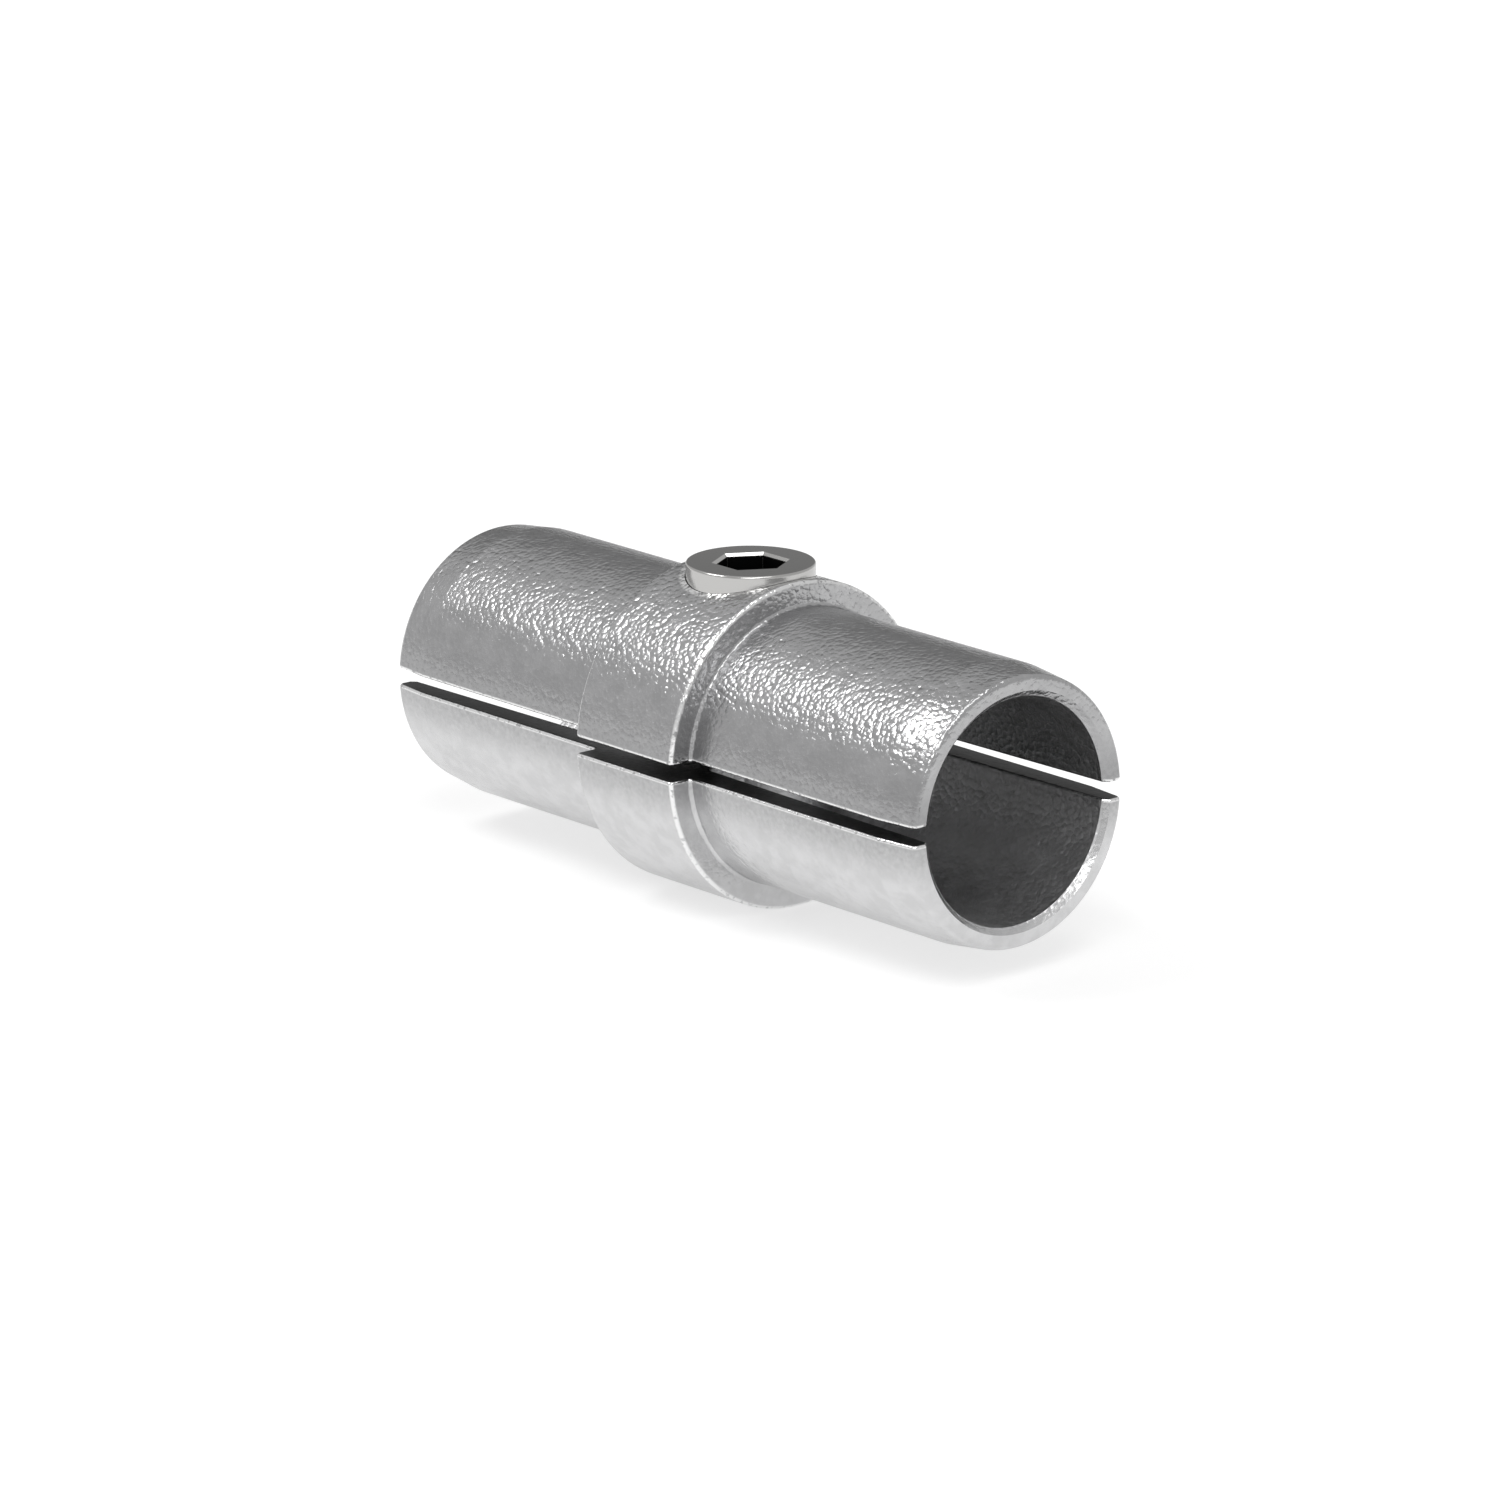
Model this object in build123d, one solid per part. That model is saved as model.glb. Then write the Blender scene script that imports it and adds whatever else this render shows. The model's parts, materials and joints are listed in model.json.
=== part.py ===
# Internal tube connector: a split, expanding sleeve that joins two round tubes end to end.
#
# Two half-round castings lie one above the other and fill the bores of both tubes. A band round
# their middle stands between the tube ends and finishes flush with the outside of the tubes. A
# screw with a hexagon socket threads down through the upper casting, and its plain point bears in
# a seat in the lower one, so turning the screw spreads the castings against the bores.
#
# Lengths are millimetres. X runs along the tubes, Z up the screw, and the origin is the middle of
# the band on the tubes' axis. The castings stand as they do when they grip the tubes.

import os
from math import radians, sqrt, tan

from build123d import *

# The tubes that the connector joins
tube_diameter = 42.4
tube_wall = 3.25

# The band between the tube ends
band_width = 18.6
band_edge_radius = 0.6
shoulder_root_radius = 0.5

# The sleeves on each side of it
sleeve_length = 41.0
sleeve_wall_at_band = 4.4
sleeve_wall_at_mouth = 3.4
lead_length = 6.0
lead_drop = 0.7
mouth_edge_radius = 0.8
mouth_bevel = 0.8  # inside the mouth

# The slot that parts the two castings
slot_width = 2.1
slot_edge_radius = 0.4

# The metal that the cores leave in the middle of each casting
web_thickness = 14.0
boss_wall = 3.6  # round the thread, at the slot
post_wall = 4.4  # round the seat, at the slot
draft_angle = 2.0  # degrees
core_corner_radius = 1.5
hole_bevel = 0.6  # round the tapped hole and the seat, at the slot

# The thread of the screw, a 3/8 inch parallel pipe thread
thread_diameter = 16.662
thread_pitch = 25.4 / 19
thread_depth_in_pitches = 0.6403
thread_clearance = 0.05
tightening_turns = 1.0  # left in the screw, for tubes with thinner walls

# The rest of the screw
head_diameter = 16.5
head_height = 4.0
head_stand = 0.95  # above the top of the band
head_edge_radius = 0.3
relief_undercut = 0.175  # below the root of the thread
relief_length = 1.8
thread_chamfer = 0.9
point_diameter = 11.2
point_chamfer = 0.6
key_size = 8.0  # across the flats
key_depth = 6.5
key_chamfer = 0.35
drill_diameter = 7.6
drill_point_angle = 118.0  # degrees

# How the screw fits the castings
head_clearance = 0.1  # round the head, in its pocket
head_floor_clearance = 0.12  # under the head, when the screw is right in
shank_clearance = 0.3  # from the end of the thread to the lower casting
seat_clearance = 0.08  # round the point
seat_depth = 3.2

# Places that follow from these sizes
band_radius = tube_diameter / 2
sleeve_radius = band_radius - tube_wall
half_band = band_width / 2
half_length = half_band + sleeve_length
half_slot = slot_width / 2
half_web = web_thickness / 2
thread_radius = thread_diameter / 2
thread_depth = thread_depth_in_pitches * thread_pitch
mean_thread_radius = thread_radius - thread_depth / 2
relief_radius = thread_radius - thread_depth - relief_undercut
point_radius = point_diameter / 2
seat_radius = point_radius + seat_clearance
head_radius = head_diameter / 2
head_top = band_radius + head_stand
head_bottom = head_top - head_height
pocket_floor = head_bottom - tightening_turns * thread_pitch - head_floor_clearance
shank_bottom = shank_clearance - half_slot
seat_floor = -half_slot - seat_depth
beyond = half_length + band_radius  # a distance that lies outside the whole connector


def turned_along_tubes(points, rounded_corners=()):
    """A round form about the tubes' axis, from its outline as distances along and out from it.

    Each rounded corner is given by its place in the outline and its radius.
    """
    outline = make_face(Polyline(*points, close=True))
    for along, out, radius in rounded_corners:
        corner = outline.vertices().sort_by_distance((along, out, 0))[0]
        outline = fillet(corner, radius)
    return revolve(outline, Axis.X)


def turned_along_screw(points, rounded_corners=()):
    """A round form about the screw's axis, from its outline as radii and heights."""
    swapped = [(height, radius) for radius, height in points]
    corners = [(height, radius, rounding) for radius, height, rounding in rounded_corners]
    return Rot(0, -90, 0) * turned_along_tubes(swapped, corners)


def outer_form():
    """The outside of both castings, as one solid with no hollow and no slot."""
    mouth_radius = sleeve_radius - lead_drop
    right = [
        (half_band, band_radius),
        (half_band, sleeve_radius),
        (half_length - lead_length, sleeve_radius),
        (half_length, mouth_radius),
        (half_length, 0),
    ]
    left = [(-along, out) for along, out in reversed(right)]
    corners = []
    for side in (-1, 1):
        corners.append((side * half_band, band_radius, band_edge_radius))
        corners.append((side * half_band, sleeve_radius, shoulder_root_radius))
        corners.append((side * half_length, mouth_radius, mouth_edge_radius))
    return turned_along_tubes(left + right, corners)


def core(middle_radius):
    """The hollow of the right-hand sleeve, above the slot.

    It widens to the mouth and stops at the web. The boss or post round the screw, which has the
    given radius at the slot and a draft, stands out of the web into it.
    """
    radius_at_band = sleeve_radius - sleeve_wall_at_band
    radius_at_mouth = sleeve_radius - sleeve_wall_at_mouth
    widening = (radius_at_mouth - radius_at_band) / sleeve_length
    radius_at_web = radius_at_band - widening * (half_band - half_web)
    hollow = turned_along_tubes(
        [
            (half_web, 0),
            (half_web, radius_at_web),
            (half_length - mouth_bevel, radius_at_mouth),
            (beyond, radius_at_mouth + mouth_bevel + beyond - half_length),
            (beyond, 0),
        ]
    )
    radius_at_top = middle_radius + band_radius * tan(radians(draft_angle))
    middle = turned_along_screw(
        [(0, 0), (middle_radius, 0), (radius_at_top, band_radius), (0, band_radius)]
    )
    below = Pos(0, 0, -beyond) * Box(4 * beyond, 4 * beyond, 2 * beyond)
    hollow = hollow - middle - below
    inner_edges = [
        edge
        for edge in hollow.edges()
        if edge.center().Z > 0.01 and edge.center().X < half_length / 2
    ]
    # Where the channel beside the boss is narrow, its corners are as round as it allows
    channel = radius_at_web - sqrt(max(middle_radius**2 - half_web**2, 0))
    return fillet(inner_edges, min(core_corner_radius, 0.45 * channel))


def cast_half(middle_radius):
    """The upper casting before it is drilled, or the lower one upside down."""
    above = Pos(0, 0, half_slot + beyond) * Box(4 * beyond, 4 * beyond, 2 * beyond)
    right_core = core(middle_radius)
    half = (outer_form() & above) - right_core - Rot(0, 0, 180) * right_core
    slot_face = half.faces().sort_by(Axis.Z)[0]
    return fillet(slot_face.edges(), slot_edge_radius)


def upper_casting():
    """The casting with the pocket for the screw's head and the tapped hole under it."""
    hole_radius = mean_thread_radius + thread_clearance
    pocket_radius = head_radius + head_clearance
    hole = turned_along_screw(
        [
            (0, 0),
            (hole_radius + hole_bevel + half_slot, 0),
            (hole_radius, half_slot + hole_bevel),
            (hole_radius, pocket_floor),
            (pocket_radius, pocket_floor),
            (pocket_radius, beyond),
            (0, beyond),
        ]
    )
    return cast_half(thread_radius + boss_wall) - hole


def lower_casting():
    """The casting with the blind seat for the screw's point."""
    seat = turned_along_screw(
        [
            (0, seat_floor),
            (seat_radius, seat_floor),
            (seat_radius, -half_slot - hole_bevel),
            (seat_radius + hole_bevel + half_slot, 0),
            (0, 0),
        ]
    )
    return Rot(180, 0, 0) * cast_half(seat_radius + post_wall) - seat


def key_socket():
    """The hexagon socket with its chamfered mouth and the cone that the drill left."""
    hexagon = RegularPolygon(key_size / 2, 6, major_radius=False)
    mouth = RegularPolygon(key_size / 2 + key_chamfer, 6, major_radius=False)
    floor = head_top - key_depth
    chamfer_start = head_top - key_chamfer
    prism = Pos(0, 0, floor) * extrude(hexagon, key_depth)
    flare = loft([Pos(0, 0, chamfer_start) * hexagon, Pos(0, 0, head_top) * mouth])
    drill_radius = drill_diameter / 2
    drill_tip = floor - drill_radius / tan(radians(drill_point_angle / 2))
    drill_point = turned_along_screw([(0, floor), (drill_radius, floor), (0, drill_tip)])
    return prism + flare + drill_point


def expander_screw():
    """The screw, with its thread as a plain cylinder of the thread's mean diameter."""
    relief_bottom = head_bottom - relief_length
    thread_top = relief_bottom - (mean_thread_radius - relief_radius)
    outline = [
        (0, head_top),
        (head_radius, head_top),
        (head_radius, head_bottom),
        (relief_radius, head_bottom),
        (relief_radius, relief_bottom),
        (mean_thread_radius, thread_top),
        (mean_thread_radius, shank_bottom + thread_chamfer),
        (mean_thread_radius - thread_chamfer, shank_bottom),
        (point_radius, shank_bottom),
        (point_radius, seat_floor + point_chamfer),
        (point_radius - point_chamfer, seat_floor),
        (0, seat_floor),
    ]
    blank = turned_along_screw(outline, [(head_radius, head_top, head_edge_radius)])
    return blank - key_socket()


os.makedirs("parts", exist_ok=True)
export_step(upper_casting(), "parts/upper_casting.step")
export_step(lower_casting(), "parts/lower_casting.step")
export_step(expander_screw(), "parts/expander_screw.step")
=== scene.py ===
# Dresses the internal tube connector: two galvanised castings and a turned steel screw with its real
# thread, on a pale floor in soft studio light. Lengths in the dictionaries are millimetres, unless a
# note says otherwise.
import json
from math import cos, pi, radians, sin, tan

import bmesh
import bpy
from mathutils import Matrix, Vector


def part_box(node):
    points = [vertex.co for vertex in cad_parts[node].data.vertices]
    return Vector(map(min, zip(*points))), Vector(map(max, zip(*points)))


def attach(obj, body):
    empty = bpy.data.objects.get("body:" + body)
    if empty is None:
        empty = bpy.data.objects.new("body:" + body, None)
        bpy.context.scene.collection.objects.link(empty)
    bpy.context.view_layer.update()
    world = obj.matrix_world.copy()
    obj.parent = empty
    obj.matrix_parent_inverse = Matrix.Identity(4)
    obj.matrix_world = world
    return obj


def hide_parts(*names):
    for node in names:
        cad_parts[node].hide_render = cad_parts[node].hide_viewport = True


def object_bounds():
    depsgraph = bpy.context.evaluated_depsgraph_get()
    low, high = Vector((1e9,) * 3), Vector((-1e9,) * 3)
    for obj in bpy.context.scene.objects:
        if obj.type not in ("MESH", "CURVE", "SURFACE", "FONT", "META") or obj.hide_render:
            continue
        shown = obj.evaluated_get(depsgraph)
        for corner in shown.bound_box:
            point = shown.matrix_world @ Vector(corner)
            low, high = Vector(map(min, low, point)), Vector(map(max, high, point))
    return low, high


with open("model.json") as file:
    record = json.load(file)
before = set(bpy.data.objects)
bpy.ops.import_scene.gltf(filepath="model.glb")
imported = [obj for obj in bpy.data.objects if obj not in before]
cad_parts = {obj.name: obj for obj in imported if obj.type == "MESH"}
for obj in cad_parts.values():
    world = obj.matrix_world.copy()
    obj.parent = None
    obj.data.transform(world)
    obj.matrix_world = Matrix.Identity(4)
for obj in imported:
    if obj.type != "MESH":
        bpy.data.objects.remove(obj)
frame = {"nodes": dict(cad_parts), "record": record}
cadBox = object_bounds()
mounts = {mount["name"]: mount for mount in frame["record"]["mounts"]}
mm = 0.001

# Sizes and places that come from the frame, in millimetres
sleeveRadius = mounts["right_spigot"]["dims"]["r_mm"]
halfBand = mounts["right_shoulder"]["pos_m"][0] / mm
bandRadius = -cadBox[0].z / mm
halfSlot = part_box("upper_casting")[0].z / mm
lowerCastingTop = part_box("lower_casting")[1].z / mm
screwBottom, screwTop = (corner.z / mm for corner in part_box("expander_screw"))
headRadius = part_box("expander_screw")[1].x / mm
print("stage: frame loaded")


# Node maths, for the materials and for the thread, written as Python expressions

class Value:  # wraps one socket of a node
    def __init__(self, maker, socket):
        self.maker = maker
        self.socket = socket

    def maths(self, operation, first, second):
        return self.maker.maths(operation, first, second)

    def __add__(self, other):
        return self.maths("ADD", self, other)

    def __radd__(self, other):
        return self.maths("ADD", other, self)

    def __sub__(self, other):
        return self.maths("SUBTRACT", self, other)

    def __rsub__(self, other):
        return self.maths("SUBTRACT", other, self)

    def __mul__(self, other):
        return self.maths("MULTIPLY", self, other)

    def __rmul__(self, other):
        return self.maths("MULTIPLY", other, self)

    def __truediv__(self, other):
        return self.maths("DIVIDE", self, other)

    def __pow__(self, other):
        return self.maths("POWER", self, other)


class Maker:  # makes nodes in one tree
    def __init__(self, tree):
        self.tree = tree
        tree.nodes.clear()

    def node(self, kind, settings=None, inputs=None):
        made = self.tree.nodes.new(kind)
        for name, setting in (settings or {}).items():
            setattr(made, name, setting)
        for name, value in (inputs or {}).items():
            if isinstance(value, Value):
                self.tree.links.new(value.socket, made.inputs[name])
            else:
                made.inputs[name].default_value = value
        return [Value(self, socket) for socket in made.outputs]

    def maths(self, operation, *values):
        return self.node("ShaderNodeMath", {"operation": operation}, dict(enumerate(values)))[0]

    def absolute(self, value):
        return self.maths("ABSOLUTE", value)

    def larger(self, first, second):
        return self.maths("MAXIMUM", first, second)

    def smaller(self, first, second):
        return self.maths("MINIMUM", first, second)

    def ramp(self, value, low, high):  # 0 at low and 1 at high, with soft ends
        return self.node("ShaderNodeMapRange", {"interpolation_type": "SMOOTHSTEP"}, {
            "Value": value, "From Min": low, "From Max": high, "To Min": 0.0, "To Max": 1.0})[0]

    def noise(self, vector, size, detail, roughness):
        return self.node("ShaderNodeTexNoise", {"noise_dimensions": "3D"}, {
            "Vector": vector, "Scale": 1 / size, "Detail": detail, "Roughness": roughness})[0]

    def mixColours(self, factor, first, second):  # 6, 7 and 2 are the node's sockets for colours
        return self.node("ShaderNodeMix", {"data_type": "RGBA"}, {0: factor, 6: first, 7: second})[2]

    def scaled(self, vector, factor):
        return self.node("ShaderNodeVectorMath", {"operation": "SCALE"}, {0: vector, "Scale": factor})[0]

    def split(self, vector):
        return self.node("ShaderNodeSeparateXYZ", {}, {0: vector})

    def objectPlace(self):  # Object coordinates, in metres
        return self.node("ShaderNodeTexCoord")[3]

    def inMillimetres(self):
        return self.scaled(self.objectPlace(), 1 / mm)


def newMaterial(name):
    material = bpy.data.materials.new(name)
    material.use_nodes = True
    return material, Maker(material.node_tree)


def metal(make, colour, roughness, relief):  # the relief is in millimetres
    bump = make.node("ShaderNodeBump", {}, {"Strength": 1.0, "Distance": mm, "Height": relief})[0]
    shader = make.node("ShaderNodeBsdfPrincipled", {}, {
        "Metallic": 1.0, "Base Color": colour, "Roughness": roughness, "Normal": bump})[0]
    make.node("ShaderNodeOutputMaterial", {}, {"Surface": shader})


def newObject(name, data):
    made = bpy.data.objects.new(name, data)
    bpy.context.scene.collection.objects.link(made)
    return made


# The castings: hot-dip galvanised, satin, with the grain of the mould under the zinc

casting = {
    # The same zinc in a shaded and a lit copy: the lower casting is painted lighter than the upper one,
    # as painted light
    "upperColour": (0.505, 0.505, 0.51),
    "lowerColour": (0.725, 0.725, 0.73),
    "mottleSize": 2.6,
    "mottleDepth": 0.10,           # share of the colour that a dark patch loses
    "mottleLevels": (0.65, 0.35),  # of the noise, where a dark patch starts and is full
    "pebbleSize": 0.72,            # of the drops of zinc
    "pebbleHeight": 0.10,
    "lumpSize": 0.6,
    "lumpHeight": 0.07,
    "grainSize": 0.22,
    "grainHeight": 0.012,
    "calmRelief": 0.32,            # share of the relief that is left outside, from calmBelow down
    "calmBelow": 4.5,              # height above the connector's axis, as the next one is
    "roughAbove": 10.5,
    "roughness": 0.25,
    "roughnessSpread": 0.08,
    "edgeWidth": 0.55,             # of the light edges of the band and of the slot: rubbed zinc and painted highlight
    "pocketClearance": 0.1,        # round the head of the screw
    "pocketRim": 0.9,              # width of the light ring round the head: rubbed zinc and painted highlight
    # near-white of these edges: rubbed zinc and painted highlight
    "rubbedColour": (0.93, 0.93, 0.93, 1),
    "rubbedGloss": 0.07,           # taken off the roughness
    "rubbedLevels": (0.28, 0.46),  # of the noise, where a patch of wear and painted highlight starts and is full
    "faceMargins": (0.10, 0.02),   # what lies nearer to the slot's faces than this counts as on them
    "slotShade": 0.25,             # times the colour, on the faces in the slot
    "coreWall": 3.35,              # what lies deeper than this in a sleeve is in its hollow
    "coreMargin": 0.2,
    "coreShade": 1.05,             # times the colour, in the hollows
    "coreRoughness": 0.14,         # added in the hollows and in the slot
    "upperSoot": 0.26,             # share of the colour that is lost towards the slot, as painted shade
    "lowerSoot": 0.31,
    # height above the slot over which the painted shade fades out
    "sootHeight": 7.0,
}


class CastingPlace:  # where a point of a casting lies
    def __init__(self, make):
        self.inMillimetres = make.inMillimetres()
        x, y, self.z = make.split(self.inMillimetres)
        self.along = make.absolute(x)
        self.height = make.absolute(self.z)
        self.outwards = (y * y + self.z * self.z) ** 0.5
        self.fromScrew = (x * x + y * y) ** 0.5
        core = sleeveRadius - casting["coreWall"]
        self.inCore = make.ramp(self.outwards, core + casting["coreMargin"], core)
        self.slotFace = make.ramp(self.height, *(halfSlot + margin for margin in casting["faceMargins"]))


def zincRelief(make, place, lumps):
    grain = make.noise(place.inMillimetres, casting["grainSize"], detail=1.0, roughness=0.6)
    toPebble = make.node("ShaderNodeTexVoronoi", {"feature": "F1"}, {
        "Vector": place.inMillimetres, "Scale": 1 / casting["pebbleSize"], "Randomness": 1.0})[0]
    pebbles = lumps * casting["lumpHeight"] - toPebble * toPebble * casting["pebbleHeight"]
    rough = make.larger(make.ramp(place.z, casting["calmBelow"], casting["roughAbove"]), place.inCore)
    strength = casting["calmRelief"] + (1 - casting["calmRelief"]) * rough
    return pebbles * strength + grain * casting["grainHeight"]


# Light edges of the band, of the slot and round the head: partly rubbed zinc, partly painted highlight
def wornAndHighlitEdges(make, place):
    edge, rim = casting["edgeWidth"], casting["pocketRim"]
    pocket = headRadius + casting["pocketClearance"]
    bandEdge = make.ramp(place.along, halfBand - edge, halfBand - edge / 2) \
        * make.ramp(place.outwards, bandRadius - edge, bandRadius - edge / 2)
    slotEdge = make.ramp(place.height, halfSlot + edge, halfSlot + edge / 2) \
        * (1 - place.slotFace) * (1 - place.inCore)
    pocketEdge = make.ramp(place.fromScrew, pocket + rim, pocket + rim / 2) \
        * make.ramp(place.z, sleeveRadius - edge, sleeveRadius)
    return make.larger(make.larger(bandEdge, slotEdge), pocketEdge)


def galvanised(name, colour, towardsSlotShade):
    material, make = newMaterial(name)
    place = CastingPlace(make)
    mottle = make.noise(place.inMillimetres, casting["mottleSize"], detail=3.0, roughness=0.6)
    lumps = make.noise(place.inMillimetres, casting["lumpSize"], detail=1.0, roughness=0.5)
    # the edges are mixed towards near-white: wear and painted highlight
    wearAndHighlight = wornAndHighlitEdges(make, place) * make.ramp(lumps, *casting["rubbedLevels"])
    # painted shade: the zinc darkens towards the slot, patchy with the noise
    shadedTowardsSlot = make.ramp(place.height, halfSlot + casting["sootHeight"], halfSlot) * towardsSlotShade * (mottle + lumps)

    shade = (1 - casting["mottleDepth"] * make.ramp(mottle, *casting["mottleLevels"])) * (1 - shadedTowardsSlot)
    shade = shade * (1 - place.slotFace * (1 - casting["slotShade"]))
    shade = shade * (1 - place.inCore * (1 - casting["coreShade"]))
    tone = make.mixColours(wearAndHighlight, make.scaled(colour, shade), casting["rubbedColour"])
    roughness = casting["roughness"] + (mottle - 0.5) * casting["roughnessSpread"] \
        + make.larger(place.inCore, place.slotFace) * casting["coreRoughness"] \
        - wearAndHighlight * casting["rubbedGloss"]
    metal(make, tone, roughness, zincRelief(make, place, lumps))
    return material


def dress(node, material):
    materials = frame["nodes"][node].data.materials
    materials.clear()
    materials.append(material)


dress("upper_casting", galvanised("galvanisedUpper", casting["upperColour"], casting["upperSoot"]))
dress("lower_casting", galvanised("galvanisedLower", casting["lowerColour"], casting["lowerSoot"]))
print("stage: castings dressed")


# The screw: turned rings below and above its thread, a broached hexagon in its head

screw = {
    "headHeight": 4.0,
    "rimRadius": 0.3,
    "rimSteps": 6,
    "edgeMargin": 0.06,        # keeps flat faces flat beside a rounding
    "reliefUndercut": 0.175,   # below the root of the thread
    "reliefLength": 1.8,
    "threadDiameter": 16.662,
    "threadPitch": 25.4 / 19,
    "threadDepthInPitches": 0.6403,
    "threadChamfer": 0.9,      # at its lower end, from the mean diameter
    "shankClearance": 0.3,     # from the end of the thread to the lower casting
    "rowsPerTurn": 12,
    "pointDiameter": 11.2,
    "pointChamfer": 0.6,
    "keySize": 8.0,            # across the flats
    "keyDepth": 6.5,
    "keyChamfer": 0.35,
    "drillDiameter": 7.6,
    "drillPointAngle": 118,    # degrees
    "segments": 96,            # a multiple of 6, so that the hexagon keeps its corners
    "sharpAngle": 28,          # degrees
    "weldDistance": 0.002,
    "colour": (0.55, 0.545, 0.535, 1),
    # the socket's near-black is painted shade, down in the hexagon and the drilled hole
    "socketColour": (0.012, 0.012, 0.012, 1),
    "socketMargin": 0.05,
    "socketFade": 0.15,        # below the chamfer, where the socket's painted shade is full
    "socketRoughness": 0.3,    # added in the socket
    "roughness": 0.16,
    "roughnessSpread": 0.06,
    "turningPitch": 0.16,
    "turningHeight": 0.0004,
    "chatterSize": 0.25,
    "chatter": 6.0,            # how far it shifts the turning marks, in radians
    "faceDish": 0.05,          # slope of the head's top at its rim, as the turning tool leaves it
}
threadDepth = screw["threadDepthInPitches"] * screw["threadPitch"]


class Tree:  # builds a Geometry Nodes tree with named inputs
    def __init__(self, name, sizes):
        self.group = bpy.data.node_groups.new(name, "GeometryNodeTree")
        self.group.interface.new_socket("Geometry", in_out="INPUT", socket_type="NodeSocketGeometry")
        self.group.interface.new_socket("Geometry", in_out="OUTPUT", socket_type="NodeSocketGeometry")
        for size, value in sizes.items():
            kind = "NodeSocketInt" if isinstance(value, int) else "NodeSocketFloat"
            self.group.interface.new_socket(size, in_out="INPUT", socket_type=kind)
        self.make = Maker(self.group)
        self.sizes = dict(zip(sizes, self.make.node("NodeGroupInput")[1:]))  # after the geometry

    def finish(self, geometry, material):
        real = self.make.node("GeometryNodeRealizeInstances", {}, {0: geometry})[0]
        finished = self.make.node("GeometryNodeSetMaterial", {}, {0: real, "Material": material})[0]
        self.make.node("NodeGroupOutput", {}, {0: finished})


def meshFromTree(tree, sizes, name):
    holder = newObject(name, bpy.data.meshes.new(name))
    modifier = holder.modifiers.new(name, "NODES")
    modifier.node_group = tree.group
    for item in tree.group.interface.items_tree:
        if item.in_out == "INPUT" and item.name in sizes:
            modifier[item.identifier] = sizes[item.name]
    evaluated = holder.evaluated_get(bpy.context.evaluated_depsgraph_get())
    result = bpy.data.meshes.new_from_object(evaluated)
    holder.modifiers.clear()
    bpy.data.objects.remove(holder)
    return result


def threadSurface(material, bottom, bottomRadius, top, topRadius):
    # A sheet of rows that follow the helix. Each row's radius comes from its place in the turn, and the
    # 45 degree chamfers at both ends cut it down to plain circles.
    sizes = {
        "segments": screw["segments"],
        "rowsPerTurn": screw["rowsPerTurn"],
        "pitch": screw["threadPitch"] * mm,
        "crestRadius": screw["threadDiameter"] / 2 * mm,
        "depth": threadDepth * mm,
        "bottom": bottom * mm,
        "bottomRadius": bottomRadius * mm,
        "top": top * mm,
        "topRadius": topRadius * mm,
        "weldDistance": screw["weldDistance"] * mm,
    }
    tree = Tree("helicalThread", sizes)
    make, size = tree.make, tree.sizes
    turns = make.maths("CEIL", (size["top"] - size["bottom"]) / size["pitch"]) + 1
    sheet = make.node("GeometryNodeMeshGrid", {}, {
        "Size X": 1.0, "Size Y": 1.0,
        "Vertices X": size["segments"] + 1, "Vertices Y": turns * size["rowsPerTurn"] + 1})[0]
    across, up = make.split(make.node("GeometryNodeInputPosition")[0])[:2]
    around = across + 0.5
    turn = (up + 0.5) * turns
    wave = 1 - make.absolute(2 * make.maths("FRACT", turn) - 1)  # from 0 at a root to 1 at a crest
    crest = make.ramp(wave, 0.0, 1.0)
    rawHeight = size["bottom"] + (turn - 1 + around) * size["pitch"]
    height = make.smaller(make.larger(rawHeight, size["bottom"]), size["top"])
    threadRadius = size["crestRadius"] - (1 - crest) * size["depth"]
    chamfers = make.smaller(size["bottomRadius"] + (height - size["bottom"]),
                            size["topRadius"] + (size["top"] - height))
    radius = make.smaller(threadRadius, chamfers)
    angle = around * (2 * pi)
    place = make.node("ShaderNodeCombineXYZ", {}, {
        0: radius * make.maths("COSINE", angle), 1: radius * make.maths("SINE", angle), 2: height})[0]
    moved = make.node("GeometryNodeSetPosition", {}, {"Geometry": sheet, "Position": place})[0]
    merged = make.node("GeometryNodeMergeByDistance", {}, {
        "Geometry": moved, "Distance": size["weldDistance"]})[0]
    tree.finish(merged, material)
    return meshFromTree(tree, sizes, "threadSurface")


def circle(radius):
    return lambda angle: radius


def hexagon(halfAcrossFlats):  # two of its corners lie on the X axis
    return lambda angle: halfAcrossFlats / cos(angle % (pi / 3) - pi / 6)


def turnedStack(builder, rings):  # closes the gap between successive rings, given as (outline, height)
    count = screw["segments"]
    previous = None
    for outline, height in rings:
        if outline is None:  # a point on the axis
            current = [builder.verts.new((0, 0, height * mm))] * count
        else:
            current = []
            for step in range(count):
                angle = 2 * pi * step / count
                radius = outline(angle) * mm
                place = (radius * cos(angle), radius * sin(angle), height * mm)
                current.append(builder.verts.new(place))
        if previous:
            for step in range(count):
                after = (step + 1) % count
                corners = [previous[step], previous[after], current[after], current[step]]
                builder.faces.new(list(dict.fromkeys(corners)))
        previous = current


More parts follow.
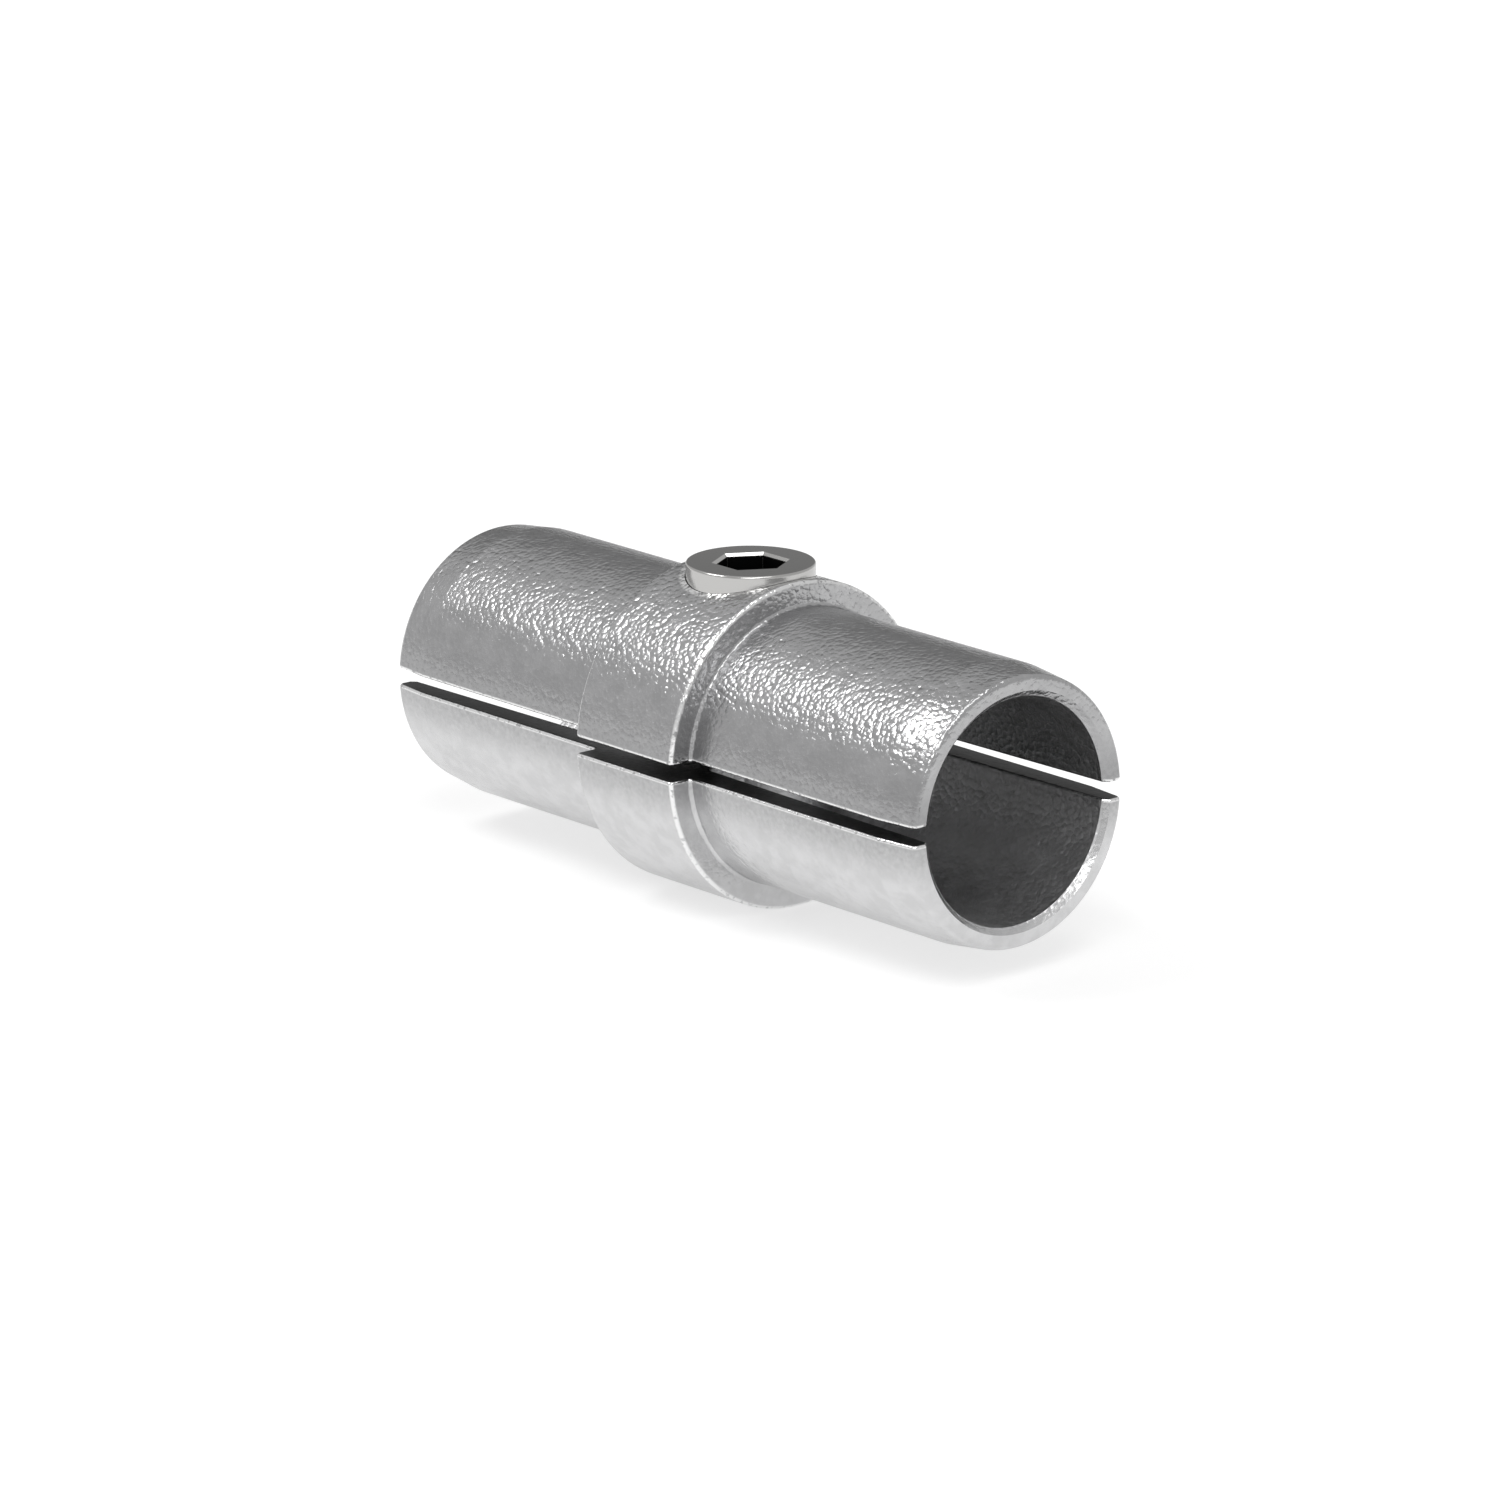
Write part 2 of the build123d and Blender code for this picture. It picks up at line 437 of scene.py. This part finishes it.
def headRings(relief, threadTop):  # from the tip of the drilled hole, over the head, to the thread
    margin, rim = screw["edgeMargin"], screw["rimRadius"]
    underHead = screwTop - screw["headHeight"]
    flats = screw["keySize"] / 2
    mouth = flats + screw["keyChamfer"]
    drill = screw["drillDiameter"] / 2
    socketFloor = screwTop - screw["keyDepth"]
    drillTip = socketFloor - drill / tan(radians(screw["drillPointAngle"] / 2))
    rings = [(None, drillTip), (circle(drill), socketFloor), (hexagon(flats), socketFloor),
             (hexagon(flats), screwTop - screw["keyChamfer"]), (hexagon(mouth), screwTop),
             (hexagon(mouth + margin), screwTop), (circle(headRadius - rim - margin), screwTop)]
    for step in range(screw["rimSteps"] + 1):
        angle = pi / 2 * step / screw["rimSteps"]
        rings.append((circle(headRadius - rim * (1 - sin(angle))), screwTop - rim * (1 - cos(angle))))
    return rings + [
        (circle(headRadius), screwTop - rim - margin), (circle(headRadius), underHead + margin),
        (circle(headRadius), underHead), (circle(headRadius - margin), underHead),
        (circle(relief), underHead), (circle(relief), threadTop)]


def pointRings(threadEnd, threadBottom):  # from the thread to the middle of the point's face
    point, chamfer = screw["pointDiameter"] / 2, screw["pointChamfer"]
    return [(circle(threadEnd), threadBottom), (circle(point), threadBottom),
            (circle(point), screwBottom + chamfer + screw["edgeMargin"]),
            (circle(point), screwBottom + chamfer),
            (circle(point - chamfer), screwBottom), (None, screwBottom)]


def steelMaterial():
    material, make = newMaterial("turnedSteel")
    inMillimetres = make.inMillimetres()
    x, y, z = make.split(inMillimetres)
    outwards = (x * x + y * y) ** 0.5
    wobble = make.noise(inMillimetres, screw["chatterSize"], detail=2.0, roughness=0.5)
    feed = (outwards + z) * (2 * pi / screw["turningPitch"])
    turning = make.maths("SINE", feed + wobble * screw["chatter"])
    dish = outwards * outwards * (screw["faceDish"] / (2 * headRadius))

    margin = screw["socketMargin"]
    corner = screw["keySize"] / 2 / cos(pi / 6)
    chamferEnd = screwTop - screw["keyChamfer"]
    deepest = screwTop - screw["keyDepth"] - screw["drillDiameter"] / 2
    # painted shade: the socket's walls turn near-black below the chamfer
    shadedInSocket = make.ramp(outwards, corner + margin, corner - margin) \
        * make.ramp(z, chamferEnd + margin, chamferEnd - screw["socketFade"]) \
        * make.ramp(z, deepest - margin, deepest)
    tone = make.mixColours(shadedInSocket, screw["colour"], screw["socketColour"])
    roughness = screw["roughness"] + (wobble - 0.5) * screw["roughnessSpread"] \
        + shadedInSocket * screw["socketRoughness"]
    metal(make, tone, roughness, turning * screw["turningHeight"] - dish)
    return material


def makeScrew():
    material = steelMaterial()
    crestRadius = screw["threadDiameter"] / 2
    relief = crestRadius - threadDepth - screw["reliefUndercut"]
    threadEnd = crestRadius - threadDepth / 2 - screw["threadChamfer"]
    threadTop = screwTop - screw["headHeight"] - screw["reliefLength"]
    threadBottom = lowerCastingTop + screw["shankClearance"]

    builder = bmesh.new()
    turnedStack(builder, headRings(relief, threadTop))
    turnedStack(builder, pointRings(threadEnd, threadBottom))
    builder.from_mesh(threadSurface(material, threadBottom, threadEnd, threadTop, relief))
    bmesh.ops.remove_doubles(builder, verts=builder.verts, dist=screw["weldDistance"] * mm)
    bmesh.ops.recalc_face_normals(builder, faces=builder.faces)
    openEdges = sum(not edge.is_manifold for edge in builder.edges)
    print("screw: open edges", openEdges, "faces", len(builder.faces))
    mesh = bpy.data.meshes.new("expanderScrew")
    builder.to_mesh(mesh)
    builder.free()
    mesh.materials.append(material)
    for face in mesh.polygons:
        face.material_index = 0  # the thread's faces come with the slot that their tree made
    mesh.shade_smooth()
    mesh.set_sharp_from_angle(angle=radians(screw["sharpAngle"]))
    piece = newObject("expanderScrew", mesh)
    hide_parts("expander_screw")
    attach(piece, "screw")


makeScrew()
print("stage: screw made")


# The floor, the light and the camera

studio = {
    "floorSize": 6000.0,
    "floorColour": (0.52, 0.52, 0.52, 1),
    "floorGlow": 0.60,             # near the connector, beside the light that falls on the floor
    "farGlow": 1.0,
    "glowPlaces": (150.0, 900.0),  # distances from the connector between which it rises
    "floorGlowInMetal": 0.48,
    "sky": 0.58,
    "horizon": 0.68,
    "horizonHeight": 0.45,         # sine of the height where the sky takes over
    "darkCard": 0.24,
    "darkCardDirection": (-0.78, 0.60, 0.27),
    "darkCardCosines": (0.88, 0.975),  # of the angles from its middle where it starts and is full
    "lampDistance": 1000.0,
    "lamps": {                     # direction, size across, power in watts
        "key": ((-0.42, -0.45, 0.79), 400.0, 2.8),
        "overhead": ((0.33, 0.03, 0.94), 350.0, 0.95),
        "edge": ((0.52, -0.45, 0.73), 500.0, 2.2),
    },
}


def makeFloor():
    height = cadBox[0].z
    half = studio["floorSize"] / 2 * mm
    mesh = bpy.data.meshes.new("floor")
    corners = [(-half, -half), (half, -half), (half, half), (-half, half)]
    mesh.from_pydata([(x, y, height) for x, y in corners], [], [(0, 1, 2, 3)])
    material, make = newMaterial("paleFloor")
    path = make.node("ShaderNodeLightPath")
    seenByCamera, seenInMetal = path[0], path[3]  # Is Camera Ray and Is Glossy Ray
    distance = make.node("ShaderNodeVectorMath", {"operation": "LENGTH"}, {0: make.objectPlace()})[1]
    far = make.ramp(distance, *(limit * mm for limit in studio["glowPlaces"]))
    glow = studio["floorGlow"] + far * (studio["farGlow"] - studio["floorGlow"])
    plain = make.node("ShaderNodeBsdfDiffuse", {}, {"Color": studio["floorColour"]})[0]
    bright = make.node("ShaderNodeEmission", {}, {
        "Strength": seenByCamera * glow + seenInMetal * studio["floorGlowInMetal"]})[0]
    both = make.node("ShaderNodeAddShader", {}, {0: plain, 1: bright})[0]
    make.node("ShaderNodeOutputMaterial", {}, {"Surface": both})
    mesh.materials.append(material)
    newObject("floor", mesh)


def makeWorld():
    world = bpy.data.worlds.new("studio")
    bpy.context.scene.world = world
    world.use_nodes = True
    make = Maker(world.node_tree)
    direction = make.node("ShaderNodeTexCoord")[0]  # Generated, in a world the direction of the ray
    seenByCamera = make.node("ShaderNodeLightPath")[0]
    towardsCard = make.node("ShaderNodeVectorMath", {"operation": "DOT_PRODUCT"},
                            {0: direction, 1: Vector(studio["darkCardDirection"]).normalized()})[1]
    card = make.ramp(towardsCard, *studio["darkCardCosines"])
    height = make.split(direction)[2]
    nearHorizon = make.ramp(height, studio["horizonHeight"], 0.0)
    sky = studio["sky"] + nearHorizon * (studio["horizon"] - studio["sky"])
    sky = sky + card * (studio["darkCard"] - sky)
    strength = sky + seenByCamera * (1 - sky)  # the camera sees plain white
    background = make.node("ShaderNodeBackground", {}, {"Color": (1, 1, 1, 1), "Strength": strength})[0]
    make.node("ShaderNodeOutputWorld", {}, {"Surface": background})


def makeLamps():
    for name, (towards, across, power) in studio["lamps"].items():
        lamp = bpy.data.lights.new(name, "AREA")
        lamp.shape = "DISK"
        lamp.size = across * mm
        lamp.energy = power
        direction = Vector(towards).normalized()
        light = newObject(name, lamp)
        light.location = direction * studio["lampDistance"] * mm
        light.rotation_euler = direction.to_track_quat("Z", "Y").to_euler()


camera = {
    "azimuth": 49.292,        # degrees, from looking along +Y
    "elevation": 15.539,      # degrees
    "place": (751.84, -647.00, 273.23),
    "lens": 194.84,
    "sensor": 36.0,
    "clip": (10.0, 20000.0),
}


def makeCamera():
    data = bpy.data.cameras.new("camera")
    data.lens = camera["lens"]
    data.sensor_width = camera["sensor"]
    data.clip_start, data.clip_end = (distance * mm for distance in camera["clip"])
    azimuth, elevation = radians(camera["azimuth"]), radians(camera["elevation"])
    back = Vector((sin(azimuth) * cos(elevation), -cos(azimuth) * cos(elevation), sin(elevation)))
    turned = back.to_track_quat("Z", "Y").to_matrix().to_4x4()
    eye = newObject("camera", data)
    eye.matrix_world = Matrix.Translation(Vector(camera["place"]) * mm) @ turned
    bpy.context.scene.camera = eye


makeFloor()
makeWorld()
makeLamps()
makeCamera()
bpy.context.scene.view_settings.view_transform = "Standard"
print("stage: studio set")
